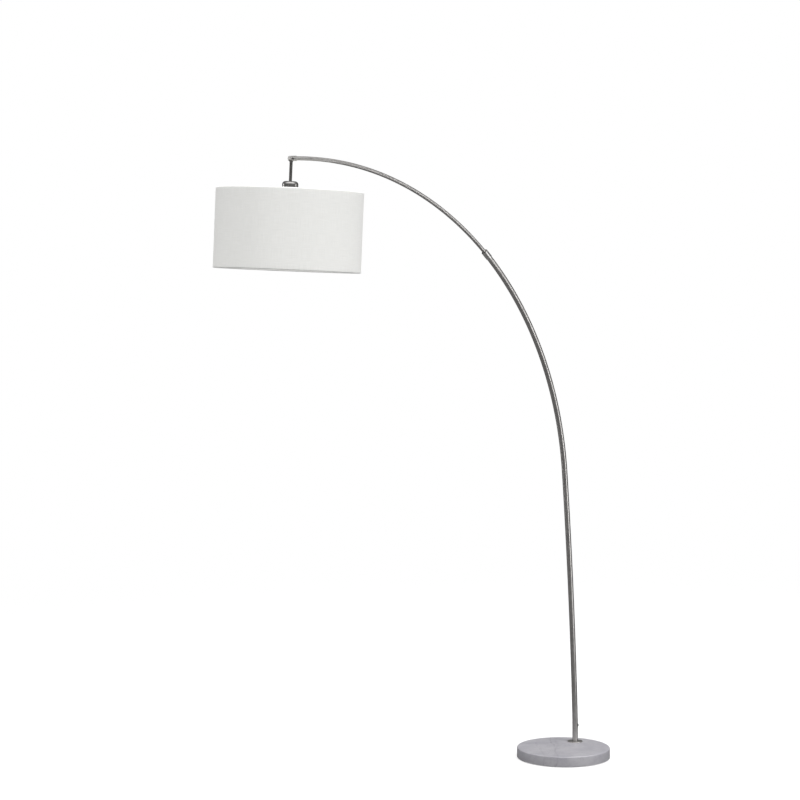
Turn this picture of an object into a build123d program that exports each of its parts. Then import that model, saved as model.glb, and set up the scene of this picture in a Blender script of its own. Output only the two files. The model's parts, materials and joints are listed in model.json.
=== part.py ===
"""Arc floor lamp: a stone disc, a bowed post, a telescoping arc and a hanging drum shade.

Millimetres, +Z up. The origin is the centre of the foot pad's underside. The post stands off
centre on the disc, and the arm reaches along -X in the upright plane through the post.
A tube's lean is its angle from the vertical, towards the arm's end.
"""

import os
from math import atan2, cos, degrees, radians, sin

from build123d import *

# ------------------------------------------------------------------ driving dimensions
# Base: stone disc on a soft pad, with a pocket below for the clamp nut
base_radius = 160.0
pad_inset = 8.0
pad_thickness = 2.0
base_thickness = 35.0
base_top_round = 4.0
base_bottom_round = 1.5
pocket_radius = 22.0
pocket_depth = 14.0
post_along = 90.0  # post from the disc's centre, away from the arm
post_side = 32.0  # post from the disc's centre, to the arm's left

# Threaded rod through the disc and what is clamped on it
rod_radius = 5.0
rod_bore = 3.0
rod_hole_clearance = 0.6
washer_radius = 18.0
washer_thickness = 2.0
lock_washer_radius = 9.0
lock_washer_thickness = 2.0
lock_washer_slit = 1.5
base_nut_flats = 17.0
base_nut_height = 7.0
rod_below_nut = 1.0
flange_radius = 26.0
flange_thickness = 3.0
flange_round = 1.2
swivel_washer_thickness = 0.8
pivot_washer_clearance = 0.5
pivot_washer_thickness = 1.0
pivot_nut_flats = 13.0
pivot_nut_height = 6.0
rod_above_nut = 2.0

# Post and lower arc, one outer size
tube_radius = 9.5
tube_wall = 1.2
plug_length = 20.0
foot_straight = 40.0  # upright stretch above the disc
foot_bend_length = 60.0
post_length = 950.0  # along the tube, from the disc's top to the coupling
post_foot_lean = 2.4
post_top_lean = 5.3
coupler_grip = 40.0
coupler_wall = 1.4
arc_radius = 1165.0
lower_arc_length = 855.0
tube_seam = 0.3  # hairline between the post and the lower arc

# Cord inlet at the back of the post
inlet_height = 58.0  # above the disc's top
inlet_radius = 4.5
inlet_bore = 3.2
inlet_lip_radius = 6.2
inlet_lip_thickness = 1.4

# Collar at the lower arc's mouth
collar_wall = 1.4  # over the tube's outside
collar_grip = 12.0
collar_reach = 17.0
collar_bore_step = 0.3  # wider than the tube's bore
collar_chamfer = 0.7
bushing_length = 9.0
lock_screw_radius = 2.0
lock_screw_offset = 4.5  # past the mouth
lock_screw_key = 2.0  # across the flats of its socket
lock_screw_key_depth = 2.0

# Upper arc, which slides in the lower one
upper_radius = 6.35
upper_wall = 1.0
upper_arc_length = 911.0  # from the lower arc's mouth to the shade's pivot, drawn out
upper_grip = 70.0  # still inside the lower arc when drawn out
guide_length = 16.0

# Elbow at the arm's end, with the shade's pivot
elbow_wall = 1.4
elbow_nose = 8.0
elbow_back = 20.0
elbow_grip = 12.0
elbow_wire_hole = 3.5
elbow_cheek = 2.4  # between the eye's slot and the pin's head
elbow_notch_drop = 3.5
elbow_nose_round = 1.0
pin_radius = 2.0
pin_head_radius = 3.4
pin_head_height = 1.4
pin_slot_width = 0.8
pin_slot_depth = 0.6
pin_nut_flats = 5.6
grub_radius = 1.5
grub_offset = 14.0
grub_key = 1.5
grub_key_depth = 1.0

# Stem that hangs from the elbow
stem_lean = 3.1  # its foot swings outwards from plumb
eye_radius = 6.4
eye_thickness = 8.0
neck_length = 11.0
neck_width = 8.0
shoulder_height = 2.0
stem_radius = 4.75
stem_wall = 1.75
spigot_length = 12.0
knuckle_wire_hole = 1.7

# Socket; a drop is measured from the pivot down the stem
cup_top_drop = 70.0
cup_radius = 25.0
cup_height = 61.0
cup_wall = 1.0
cup_shoulder = 10.0
stem_nut_flats = 14.0
stem_nut_height = 4.0
socket_radius = 17.0
socket_headroom = 6.0  # below the cup's top
stem_thread_depth = 8.0
skirt_radius = 19.75
skirt_in_cup = 15.0
skirt_below_cup = 19.0
socket_flange_thickness = 4.0
socket_cavity_depth = 30.0
shell_radius = 13.6
shell_wall = 0.45
shell_top_gap = 2.0  # below the cavity's roof
shell_inset = 4.0  # above the skirt's end
contact_radius = 4.0
contact_thickness = 1.0

# Rotary switch through the side of the cup
switch_above_mouth = 23.5  # above the cup's mouth
shaft_radius = 1.75
shaft_inner_end = 9.0
shaft_hole_clearance = 0.85
knob_radius = 6.5
knob_length = 11.0
knob_stand_off = 2.0
knob_flute_radius = 1.0
knob_flutes = 16

# Shade
shade_radius = 228.6
shade_height = 246.0
shade_above_mouth = 32.5  # its top edge above the cup's mouth
cover_thickness = 0.7
liner_thickness = 0.5
wire_radius = 1.6
wire_edge_inset = 1.9
hub_rim = 6.0  # wider than the cup
hub_thickness = 1.5
retainer_radius = 25.0
retainer_height = 5.5
retainer_flutes = 24
retainer_flute_radius = 0.8
spoke_count = 3
spoke_first_turn = 60.0
spoke_level_end = 70.0
spoke_bend = 30.0

# Bulb
bulb_radius = 30.0
bulb_neck = 14.0
bulb_neck_length = 8.0
bulb_neck_to_centre = 49.0
bulb_wall = 0.8
bulb_base_headroom = 6.5  # below the socket cavity's roof
bulb_button_radius = 4.5
bulb_thread_pitch = 3.6
bulb_thread_depth = 0.5

# Clearances
turn_gap = 0.05  # radial, round pin in a round hole
seat_gap = 0.05  # between fixed pieces
collar_fit = 0.12  # radial, straight collar on the curved tube
face_gap = 0.1  # between faces that turn on each other
slide_gap = 0.25  # radial, curved tube in its guide
screw_tip_gap = 0.3
eye_side_gap = 0.3  # each side of the stem's eye in the elbow's slot
eye_swing_gap = 0.5  # round the eye
cup_gap = 1.0  # between the cup and the spokes
bulb_fit = 0.25  # radial, bulb in the socket's shell
bulb_below_skirt = 1.0
spoke_end_gap = 0.4  # before a spoke's weld to the wire ring
tube_end_gap = 0.4  # between the upper tube's end and the elbow

# ------------------------------------------------------------------ levels on the post
pad_radius = base_radius - pad_inset
base_top = pad_thickness + base_thickness
pocket_roof = pad_thickness + pocket_depth
washer_bottom = pocket_roof - washer_thickness
lock_washer_bottom = washer_bottom - lock_washer_thickness
base_nut_bottom = lock_washer_bottom - base_nut_height
rod_bottom = base_nut_bottom - rod_below_nut
flange_top = base_top + flange_thickness
swivel_washer_top = flange_top + swivel_washer_thickness
post_bottom = swivel_washer_top + face_gap
plug_top = post_bottom + plug_length
pivot_washer_bottom = plug_top + face_gap
pivot_washer_top = pivot_washer_bottom + pivot_washer_thickness
pivot_nut_top = pivot_washer_top + pivot_nut_height
rod_top = pivot_nut_top + rod_above_nut
foot_straight_top = base_top + foot_straight
tube_bore = tube_radius - tube_wall
pivot_washer_radius = tube_bore - pivot_washer_clearance
rod_fit = rod_radius + turn_gap
rod_hole_radius = rod_radius + rod_hole_clearance

# ------------------------------------------------------------------ the arm's line
# In the arm's plane the first coordinate is reach and the second is height.
post_foot = Plane(origin=(post_along, post_side, 0))
arm = Plane(origin=(post_along, post_side, 0), x_dir=(-1, 0, 0), z_dir=(0, 1, 0))


def centre_of_bend(point, lean, radius):
    """Centre of a bend that starts at point with that lean, on the arm's inner side."""
    return point[0] + radius * cos(radians(lean)), point[1] - radius * sin(radians(lean))


def point_on_bend(centre, radius, lean):
    """Point of a bend where the tube has that lean."""
    return centre[0] - radius * cos(radians(lean)), centre[1] + radius * sin(radians(lean))


def across_bend(centre, radius, lean):
    """Plane square to a bent tube, with its normal up the tube."""
    reach, height = point_on_bend(centre, radius, lean)
    tangent = (-sin(radians(lean)), 0, cos(radians(lean)))
    return Plane(origin=arm.from_local_coords((reach, height, 0)), x_dir=(0, 1, 0), z_dir=tangent)


def axis_of_bend(centre):
    """Axis through a bend's centre; turning about it goes up the tube."""
    return Axis(arm.from_local_coords((centre[0], centre[1], 0)), (0, -1, 0))


foot_bend_radius = foot_bend_length / radians(post_foot_lean)
foot_bend_centre = centre_of_bend((0, foot_straight_top), 0, foot_bend_radius)
foot_bend_end = point_on_bend(foot_bend_centre, foot_bend_radius, post_foot_lean)
bow_length = post_length - foot_straight - foot_bend_length
bow_radius = bow_length / radians(post_top_lean - post_foot_lean)
bow_centre = centre_of_bend(foot_bend_end, post_foot_lean, bow_radius)
post_end = point_on_bend(bow_centre, bow_radius, post_top_lean)
arc_centre = centre_of_bend(post_end, post_top_lean, arc_radius)
arc_axis = axis_of_bend(arc_centre)
mouth_lean = post_top_lean + degrees(lower_arc_length / arc_radius)


def arc_angle(length):
    """Angle of that length of the arc, in degrees."""
    return degrees(length / arc_radius)


def on_arc(past_mouth):
    """Plane square to the arc, that far along it past the lower tube's mouth."""
    return across_bend(arc_centre, arc_radius, mouth_lean + arc_angle(past_mouth))


# ------------------------------------------------------------------ base
with BuildPart() as foot_pad:
    with BuildSketch():
        Circle(pad_radius)
        with Locations((post_along, post_side)):
            Circle(pocket_radius, mode=Mode.SUBTRACT)
    extrude(amount=pad_thickness)

with BuildPart() as marble_base:
    with BuildSketch(Plane.XY.offset(pad_thickness)):
        Circle(base_radius)
    extrude(amount=base_thickness)
    fillet(marble_base.edges().group_by(Axis.Z)[-1], base_top_round)
    fillet(marble_base.edges().group_by(Axis.Z)[0], base_bottom_round)
    with BuildSketch(post_foot.offset(pad_thickness)):
        Circle(pocket_radius)
    extrude(amount=pocket_depth, mode=Mode.SUBTRACT)
    with BuildSketch(post_foot.offset(pocket_roof)):
        Circle(rod_hole_radius)
    extrude(amount=base_top - pocket_roof, mode=Mode.SUBTRACT)

with BuildPart() as base_washer:
    with BuildSketch(post_foot.offset(washer_bottom)):
        Circle(washer_radius)
        Circle(rod_fit, mode=Mode.SUBTRACT)
    extrude(amount=washer_thickness)

with BuildPart() as lock_washer:
    with BuildSketch(post_foot.offset(lock_washer_bottom)):
        Circle(lock_washer_radius)
        Circle(rod_fit, mode=Mode.SUBTRACT)
        with Locations((lock_washer_radius / 2, 0)):
            Rectangle(lock_washer_radius, lock_washer_slit, mode=Mode.SUBTRACT)
    extrude(amount=lock_washer_thickness)

with BuildPart() as base_nut:
    with BuildSketch(post_foot.offset(base_nut_bottom)):
        RegularPolygon(base_nut_flats / 2, 6, major_radius=False)
        Circle(rod_fit, mode=Mode.SUBTRACT)
    extrude(amount=base_nut_height)

with BuildPart() as pivot_rod:
    with BuildSketch(post_foot.offset(rod_bottom)):
        Circle(rod_radius)
        Circle(rod_bore, mode=Mode.SUBTRACT)
    extrude(amount=rod_top - rod_bottom)

with BuildPart() as foot_flange:
    with BuildSketch(post_foot.offset(base_top)):
        Circle(flange_radius)
    extrude(amount=flange_thickness)
    fillet(foot_flange.edges().group_by(Axis.Z)[-1], flange_round)
    with BuildSketch(post_foot.offset(base_top)):
        Circle(rod_fit)
    extrude(amount=flange_thickness, mode=Mode.SUBTRACT)

with BuildPart() as swivel_washer:
    with BuildSketch(post_foot.offset(flange_top)):
        Circle(tube_radius)
        Circle(rod_fit, mode=Mode.SUBTRACT)
    extrude(amount=swivel_washer_thickness)

with BuildPart() as pivot_washer:
    with BuildSketch(post_foot.offset(pivot_washer_bottom)):
        Circle(pivot_washer_radius)
        Circle(rod_fit, mode=Mode.SUBTRACT)
    extrude(amount=pivot_washer_thickness)

with BuildPart() as pivot_nut:
    with BuildSketch(post_foot.offset(pivot_washer_top)):
        RegularPolygon(pivot_nut_flats / 2, 6, major_radius=False)
        Circle(rod_fit, mode=Mode.SUBTRACT)
    extrude(amount=pivot_nut_height)

# ------------------------------------------------------------------ post and lower arc
inlet_plane = Plane(
    origin=(post_along, post_side, base_top + inlet_height), x_dir=(0, 1, 0), z_dir=(1, 0, 0)
)

with BuildPart() as post_tube:
    with BuildSketch(post_foot.offset(post_bottom)):
        Circle(tube_radius)
        Circle(tube_bore, mode=Mode.SUBTRACT)
    extrude(amount=foot_straight_top - post_bottom)
    with BuildSketch(across_bend(foot_bend_centre, foot_bend_radius, 0)):
        Circle(tube_radius)
        Circle(tube_bore, mode=Mode.SUBTRACT)
    revolve(axis=axis_of_bend(foot_bend_centre), revolution_arc=post_foot_lean)
    with BuildSketch(across_bend(bow_centre, bow_radius, post_foot_lean)):
        Circle(tube_radius)
        Circle(tube_bore, mode=Mode.SUBTRACT)
    revolve(
        axis=axis_of_bend(bow_centre),
        revolution_arc=post_top_lean - post_foot_lean - degrees(tube_seam / bow_radius),
    )
    with BuildSketch(inlet_plane):
        Circle(inlet_radius + seat_gap)
    extrude(amount=tube_radius + tube_wall, mode=Mode.SUBTRACT)

with BuildPart() as post_foot_plug:
    with BuildSketch(post_foot.offset(post_bottom)):
        Circle(tube_bore - seat_gap)
        Circle(rod_fit, mode=Mode.SUBTRACT)
    extrude(amount=plug_length)

with BuildPart() as cord_bushing:
    with BuildSketch(inlet_plane.offset(tube_bore)):
        Circle(inlet_lip_radius)
    extrude(amount=tube_wall + inlet_lip_thickness)
    with BuildSketch(post_foot.offset(base_top + inlet_height - inlet_lip_radius)):
        Circle(tube_radius + seat_gap)
    extrude(amount=2 * inlet_lip_radius, mode=Mode.SUBTRACT)
    with BuildSketch(inlet_plane.offset(tube_bore - inlet_lip_thickness)):
        Circle(inlet_radius)
    extrude(amount=tube_wall + inlet_lip_thickness)
    with BuildSketch(inlet_plane):
        Circle(inlet_bore)
    extrude(amount=2 * tube_radius, mode=Mode.SUBTRACT)

coupler_radius = tube_bore - seat_gap
with BuildPart() as tube_coupler:
    coupler_lean = degrees(coupler_grip / bow_radius)
    with BuildSketch(across_bend(bow_centre, bow_radius, post_top_lean - coupler_lean)):
        Circle(coupler_radius)
        Circle(coupler_radius - coupler_wall, mode=Mode.SUBTRACT)
    revolve(axis=axis_of_bend(bow_centre), revolution_arc=coupler_lean)
    with BuildSketch(on_arc(-lower_arc_length)):
        Circle(coupler_radius)
        Circle(coupler_radius - coupler_wall, mode=Mode.SUBTRACT)
    revolve(axis=arc_axis, revolution_arc=arc_angle(coupler_grip))

with BuildPart() as arc_tube:
    with BuildSketch(on_arc(-lower_arc_length)):
        Circle(tube_radius)
        Circle(tube_bore, mode=Mode.SUBTRACT)
    revolve(axis=arc_axis, revolution_arc=arc_angle(lower_arc_length))

# ------------------------------------------------------------------ collar
# The collar is a straight turned piece, so it keeps a little room round the curved tube.
collar_radius = tube_radius + collar_wall
collar_bore = tube_bore + collar_bore_step
mouth = on_arc(0)
lock_screw_start = on_arc(lock_screw_offset)
lock_screw_plane = Plane(
    origin=lock_screw_start.origin, x_dir=lock_screw_start.z_dir, z_dir=(0, 1, 0)
)

with BuildPart() as collar:
    with BuildSketch(mouth.offset(-collar_grip)):
        Circle(collar_radius)
    extrude(amount=collar_grip + collar_reach)
    chamfer(collar.edges().filter_by(GeomType.CIRCLE), collar_chamfer)
    with BuildSketch(mouth.offset(-collar_grip)):
        Circle(tube_radius + collar_fit)
    extrude(amount=collar_grip, mode=Mode.SUBTRACT)
    with BuildSketch(mouth):
        Circle(collar_bore)
    extrude(amount=collar_reach, mode=Mode.SUBTRACT)
    with BuildSketch(lock_screw_plane):
        Circle(lock_screw_radius + seat_gap)
    extrude(amount=2 * collar_radius, mode=Mode.SUBTRACT)

with BuildPart() as collar_bushing:
    with BuildSketch(on_arc(seat_gap)):
        Circle(collar_bore - seat_gap)
        Circle(upper_radius + slide_gap, mode=Mode.SUBTRACT)
    revolve(axis=arc_axis, revolution_arc=arc_angle(bushing_length))
    with BuildSketch(lock_screw_plane):
        Circle(lock_screw_radius + seat_gap)
    extrude(amount=2 * collar_radius, mode=Mode.SUBTRACT)

with BuildPart() as lock_screw:
    with BuildSketch(lock_screw_plane.offset(upper_radius + screw_tip_gap)):
        Circle(lock_screw_radius)
    extrude(amount=collar_radius - upper_radius - screw_tip_gap)
    with BuildSketch(lock_screw_plane.offset(collar_radius)):
        RegularPolygon(lock_screw_key / 2, 6, major_radius=False)
    extrude(amount=-lock_screw_key_depth, mode=Mode.SUBTRACT)

# ------------------------------------------------------------------ upper arc
with BuildPart() as upper_tube:
    with BuildSketch(on_arc(-upper_grip)):
        Circle(upper_radius)
        Circle(upper_radius - upper_wall, mode=Mode.SUBTRACT)
    upper_length = upper_grip + upper_arc_length - elbow_back + elbow_grip - tube_end_gap
    revolve(axis=arc_axis, revolution_arc=arc_angle(upper_length))

with BuildPart() as tube_end_guide:
    with BuildSketch(on_arc(-upper_grip)):
        Circle(tube_bore - slide_gap)
        Circle(upper_radius + seat_gap, mode=Mode.SUBTRACT)
    revolve(axis=arc_axis, revolution_arc=arc_angle(guide_length))

# ------------------------------------------------------------------ elbow
pivot = on_arc(upper_arc_length)
elbow_side = Plane(origin=pivot.origin, x_dir=pivot.z_dir, z_dir=(0, 1, 0))
elbow_bore = upper_radius + slide_gap
elbow_radius = elbow_bore + elbow_wall
elbow_slot = eye_thickness + 2 * eye_side_gap
elbow_pocket = eye_radius + eye_swing_gap
pin_seat = elbow_slot / 2 + elbow_cheek  # of the pin's head and nut, from the middle plane

with BuildPart() as elbow_body:
    with BuildSketch(pivot.offset(-elbow_back)):
        Circle(elbow_radius)
    extrude(amount=elbow_back + elbow_nose)
    fillet(elbow_body.edges().filter_by(GeomType.CIRCLE), elbow_nose_round)
    with BuildSketch(pivot.offset(-elbow_back)):
        Circle(elbow_bore)
    extrude(amount=elbow_grip, mode=Mode.SUBTRACT)
    with BuildSketch(pivot.offset(-elbow_back)):
        Circle(elbow_wire_hole)
    extrude(amount=elbow_back, mode=Mode.SUBTRACT)
    with BuildSketch(elbow_side):
        with Locations((0, (elbow_pocket - 2 * elbow_radius) / 2)):
            Rectangle(2 * elbow_pocket, elbow_pocket + 2 * elbow_radius)
        with Locations((elbow_nose, -elbow_notch_drop - elbow_radius)):
            Rectangle(elbow_nose, 2 * elbow_radius)
    extrude(amount=elbow_slot / 2, both=True, mode=Mode.SUBTRACT)
    with BuildSketch(elbow_side):
        Circle(pin_radius + seat_gap)
    extrude(amount=2 * elbow_radius, both=True, mode=Mode.SUBTRACT)
    for side in (-1, 1):
        with BuildSketch(elbow_side.offset(side * pin_seat)):
            Circle(pin_head_radius + seat_gap)
        extrude(amount=side * elbow_radius, mode=Mode.SUBTRACT)
    with BuildSketch(elbow_side):
        with Locations((-grub_offset, 0)):
            Circle(grub_radius + seat_gap)
    extrude(amount=2 * elbow_radius, mode=Mode.SUBTRACT)

with BuildPart() as elbow_pin:
    with BuildSketch(elbow_side.offset(-pin_seat)):
        Circle(pin_radius)
    extrude(amount=2 * pin_seat + pin_head_height)
    with BuildSketch(elbow_side.offset(-pin_seat - seat_gap)):
        Circle(pin_head_radius)
    extrude(amount=-pin_head_height)
    with BuildSketch(elbow_side.offset(-pin_seat - seat_gap - pin_head_height)):
        Rectangle(pin_slot_width, 2 * pin_head_radius)
    extrude(amount=pin_slot_depth, mode=Mode.SUBTRACT)
    with BuildSketch(elbow_side.offset(-pin_seat - seat_gap)):
        Circle(pin_radius)
    extrude(amount=seat_gap)

with BuildPart() as elbow_nut:
    with BuildSketch(elbow_side.offset(pin_seat + seat_gap)):
        RegularPolygon(pin_nut_flats / 2, 6, major_radius=False)
        Circle(pin_radius + seat_gap, mode=Mode.SUBTRACT)
    extrude(amount=pin_head_height)

with BuildPart() as elbow_grub_screw:
    with BuildSketch(elbow_side.offset(upper_radius + seat_gap)):
        with Locations((-grub_offset, 0)):
            Circle(grub_radius)
    extrude(amount=elbow_radius - upper_radius - seat_gap)
    with BuildSketch(elbow_side.offset(elbow_radius)):
        with Locations((-grub_offset, 0)):
            RegularPolygon(grub_key / 2, 6, major_radius=False)
    extrude(amount=-grub_key_depth, mode=Mode.SUBTRACT)

# ------------------------------------------------------------------ stem
stem_out = (-cos(radians(stem_lean)), 0, sin(radians(stem_lean)))
stem_up = (sin(radians(stem_lean)), 0, cos(radians(stem_lean)))
hanging = Plane(origin=pivot.origin, x_dir=stem_out, z_dir=stem_up)
hanging_side = Plane(origin=pivot.origin, x_dir=stem_out, z_dir=(0, 1, 0))
stem_axis = Axis(pivot.origin, stem_up)
stem_bore = stem_radius - stem_wall
stem_top_drop = neck_length + shoulder_height
socket_top_drop = cup_top_drop + socket_headroom
stem_end_drop = socket_top_drop + stem_thread_depth


def below(drop):
    """Plane square to the stem, that far below the pivot, with its normal up the stem."""
    return hanging.offset(-drop)


with BuildPart() as stem_knuckle:
    with BuildSketch(hanging_side):
        Circle(eye_radius)
        with Locations((0, -neck_length / 2)):
            Rectangle(neck_width, neck_length)
        Circle(pin_radius + turn_gap, mode=Mode.SUBTRACT)
    extrude(amount=eye_thickness / 2, both=True)
    with BuildSketch(below(neck_length)):
        Circle(stem_radius)
    extrude(amount=-shoulder_height)
    with BuildSketch(below(stem_top_drop)):
        Circle(stem_bore - seat_gap)
    extrude(amount=-spigot_length)
    wire_turn_drop = eye_radius + knuckle_wire_hole
    with BuildSketch(below(stem_top_drop + spigot_length)):
        Circle(knuckle_wire_hole)
    extrude(amount=stem_top_drop + spigot_length - wire_turn_drop, mode=Mode.SUBTRACT)
    with BuildSketch(Plane(origin=below(wire_turn_drop).origin, z_dir=hanging.x_dir)):
        Circle(knuckle_wire_hole)
    extrude(amount=-neck_width, mode=Mode.SUBTRACT)

with BuildPart() as stem_pipe:
    with BuildSketch(below(stem_end_drop)):
        Circle(stem_radius)
        Circle(stem_bore, mode=Mode.SUBTRACT)
    extrude(amount=stem_end_drop - stem_top_drop)

# ------------------------------------------------------------------ socket
cup_bottom_drop = cup_top_drop + cup_height
skirt_top_drop = cup_bottom_drop - skirt_in_cup
skirt_bottom_drop = cup_bottom_drop + skirt_below_cup
socket_cavity_drop = skirt_bottom_drop - socket_cavity_depth
shell_top_drop = socket_cavity_drop + shell_top_gap
shell_bottom_drop = skirt_bottom_drop - shell_inset
switch_drop = cup_bottom_drop - switch_above_mouth
switch_plane = Plane(origin=below(switch_drop).origin, x_dir=(0, 1, 0), z_dir=hanging.x_dir)
stem_hole = stem_radius + seat_gap

with BuildPart() as socket_cup:
    with BuildSketch(below(cup_bottom_drop)):
        Circle(cup_radius)
    extrude(amount=cup_bottom_drop - cup_top_drop)
    fillet(socket_cup.edges().group_by(Axis.Z)[-1], cup_shoulder)
    with BuildSketch(below(cup_bottom_drop)):
        Circle(cup_radius - cup_wall)
    extrude(amount=cup_bottom_drop - cup_top_drop - cup_shoulder, mode=Mode.SUBTRACT)
    with BuildSketch(hanging_side):
        with BuildLine():
            dome = JernArc(
                start=(cup_radius - cup_wall, -cup_top_drop - cup_shoulder),
                tangent=(0, 1),
                radius=cup_shoulder - cup_wall,
                arc_size=90,
            )
            Polyline(
                dome @ 1,
                (0, -cup_top_drop - cup_wall),
                (0, -cup_top_drop - cup_shoulder),
                dome @ 0,
            )
        make_face()
    revolve(axis=stem_axis, mode=Mode.SUBTRACT)
    with BuildSketch(below(cup_top_drop)):
        Circle(stem_hole)
    extrude(amount=-2 * cup_wall, mode=Mode.SUBTRACT)
    with BuildSketch(switch_plane):
        Circle(shaft_radius + shaft_hole_clearance)
    extrude(amount=2 * cup_radius, mode=Mode.SUBTRACT)

stem_nut_drop = cup_top_drop + cup_wall + seat_gap
with BuildPart() as stem_nut:
    with BuildSketch(below(stem_nut_drop)):
        RegularPolygon(stem_nut_flats / 2, 6, major_radius=False)
        Circle(stem_hole, mode=Mode.SUBTRACT)
    extrude(amount=-stem_nut_height)

hub_top_drop = cup_bottom_drop + socket_flange_thickness / 2
with BuildPart() as socket_body:
    with BuildSketch(below(skirt_top_drop)):
        Circle(socket_radius)
    extrude(amount=skirt_top_drop - socket_top_drop)
    with BuildSketch(below(skirt_bottom_drop)):
        Circle(skirt_radius)
    extrude(amount=skirt_bottom_drop - skirt_top_drop)
    with BuildSketch(below(hub_top_drop)):
        Circle(cup_radius - cup_wall - seat_gap)
    extrude(amount=socket_flange_thickness)
    with BuildSketch(below(skirt_bottom_drop)):
        Circle(shell_radius + seat_gap)
    extrude(amount=skirt_bottom_drop - socket_cavity_drop, mode=Mode.SUBTRACT)
    with BuildSketch(below(stem_end_drop + face_gap)):
        Circle(stem_hole)
    extrude(amount=stem_thread_depth + face_gap, mode=Mode.SUBTRACT)
    with BuildSketch(switch_plane.offset(shaft_inner_end - face_gap)):
        Circle(shaft_radius + turn_gap)
    extrude(amount=skirt_radius, mode=Mode.SUBTRACT)

with BuildPart() as screw_shell:
    with BuildSketch(below(shell_bottom_drop)):
        Circle(shell_radius)
        Circle(shell_radius - shell_wall, mode=Mode.SUBTRACT)
    extrude(amount=shell_bottom_drop - shell_top_drop)

with BuildPart() as centre_contact:
    with BuildSketch(below(socket_cavity_drop + seat_gap)):
        Circle(contact_radius)
    extrude(amount=-contact_thickness)

# ------------------------------------------------------------------ switch
with BuildPart() as switch_shaft:
    with BuildSketch(switch_plane.offset(shaft_inner_end)):
        Circle(shaft_radius)
    extrude(amount=cup_radius + knob_stand_off + knob_length / 2 - shaft_inner_end)

with BuildPart() as switch_knob:
    with BuildSketch(switch_plane.offset(cup_radius + knob_stand_off)):
        Circle(knob_radius)
        with PolarLocations(knob_radius, knob_flutes):
            Circle(knob_flute_radius, mode=Mode.SUBTRACT)
    extrude(amount=knob_length)
    with BuildSketch(switch_plane.offset(cup_radius + knob_stand_off)):
        Circle(shaft_radius + seat_gap)
    extrude(amount=knob_length / 2 + seat_gap, mode=Mode.SUBTRACT)

# ------------------------------------------------------------------ shade
shade_drop = cup_bottom_drop - shade_above_mouth
shade_bottom_drop = shade_drop + shade_height
liner_radius = shade_radius - cover_thickness - seat_gap
wire_ring_radius = liner_radius - liner_thickness - seat_gap - wire_radius
wire_top_drop = shade_drop + wire_edge_inset
wire_bottom_drop = shade_bottom_drop - wire_edge_inset

with BuildPart() as shade_cover:
    with BuildSketch(below(shade_bottom_drop)):
        Circle(shade_radius)
        Circle(shade_radius - cover_thickness, mode=Mode.SUBTRACT)
    extrude(amount=shade_height)

with BuildPart() as shade_liner:
    with BuildSketch(below(shade_bottom_drop)):
        Circle(liner_radius)
        Circle(liner_radius - liner_thickness, mode=Mode.SUBTRACT)
    extrude(amount=shade_height)

with BuildPart() as shade_ring_top:
    with BuildSketch(hanging_side):
        with Locations((wire_ring_radius, -wire_top_drop)):
            Circle(wire_radius)
    revolve(axis=stem_axis)

with BuildPart() as shade_ring_bottom:
    with BuildSketch(hanging_side):
        with Locations((wire_ring_radius, -wire_bottom_drop)):
            Circle(wire_radius)
    revolve(axis=stem_axis)

with BuildPart() as shade_hub:
    with BuildSketch(below(hub_top_drop + seat_gap)):
        Circle(cup_radius + hub_rim)
        Circle(skirt_radius + seat_gap, mode=Mode.SUBTRACT)
    extrude(amount=-hub_thickness)

with BuildPart() as shade_spokes:
    spoke_drop = hub_top_drop - wire_radius
    spoke_start = cup_radius + cup_gap
    for spoke in range(spoke_count):
        turn = spoke_first_turn + 360 * spoke / spoke_count
        upright = Plane(
            origin=pivot.origin,
            x_dir=hanging_side.x_dir.rotate(stem_axis, turn),
            z_dir=hanging_side.z_dir.rotate(stem_axis, turn),
        )
        with BuildLine(upright) as spoke_line:
            FilletPolyline(
                (spoke_start, -spoke_drop),
                (spoke_level_end, -spoke_drop),
                (wire_ring_radius - wire_radius - spoke_end_gap, -wire_top_drop),
                radius=spoke_bend,
            )
        with BuildSketch(Plane(origin=spoke_line.line @ 0, z_dir=spoke_line.line % 0)):
            Circle(wire_radius)
        sweep(path=spoke_line.line)

retainer_top_drop = hub_top_drop + 2 * seat_gap + hub_thickness
with BuildPart() as shade_retainer:
    with BuildSketch(below(retainer_top_drop)):
        Circle(retainer_radius)
        Circle(skirt_radius + seat_gap, mode=Mode.SUBTRACT)
        with PolarLocations(retainer_radius, retainer_flutes):
            Circle(retainer_flute_radius, mode=Mode.SUBTRACT)
    extrude(amount=-retainer_height)

# ------------------------------------------------------------------ bulb
# The neck flares on an arc that leaves it upright and meets the round globe smoothly.
bulb_neck_drop = skirt_bottom_drop + bulb_below_skirt
bulb_centre_drop = bulb_neck_drop + bulb_neck_to_centre
bulb_base_radius = shell_radius - shell_wall - bulb_fit
bulb_base_top_drop = socket_cavity_drop + bulb_base_headroom
flare_drop = bulb_neck_drop + bulb_neck_length
flare_rise = bulb_centre_drop - flare_drop
flare_radius = (bulb_neck**2 + flare_rise**2 - bulb_radius**2) / (2 * (bulb_radius - bulb_neck))
flare_turn = degrees(atan2(flare_rise, bulb_neck + flare_radius))


def bulb_outline(inset):
    """Half section of the bulb's glass, moved inwards by inset."""
    neck = bulb_neck - inset
    with BuildSketch(hanging_side) as outline:
        with BuildLine():
            side = Line((neck, -bulb_neck_drop), (neck, -flare_drop))
            flare = JernArc(
                start=side @ 1, tangent=(0, -1), radius=flare_radius + inset, arc_size=flare_turn
            )
            globe = JernArc(
                start=flare @ 1,
                tangent=flare % 1,
                radius=bulb_radius - inset,
                arc_size=-90 - flare_turn,
            )
            Polyline(globe @ 1, (0, -bulb_neck_drop), side @ 0)
        make_face()
    return outline.sketch


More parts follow.
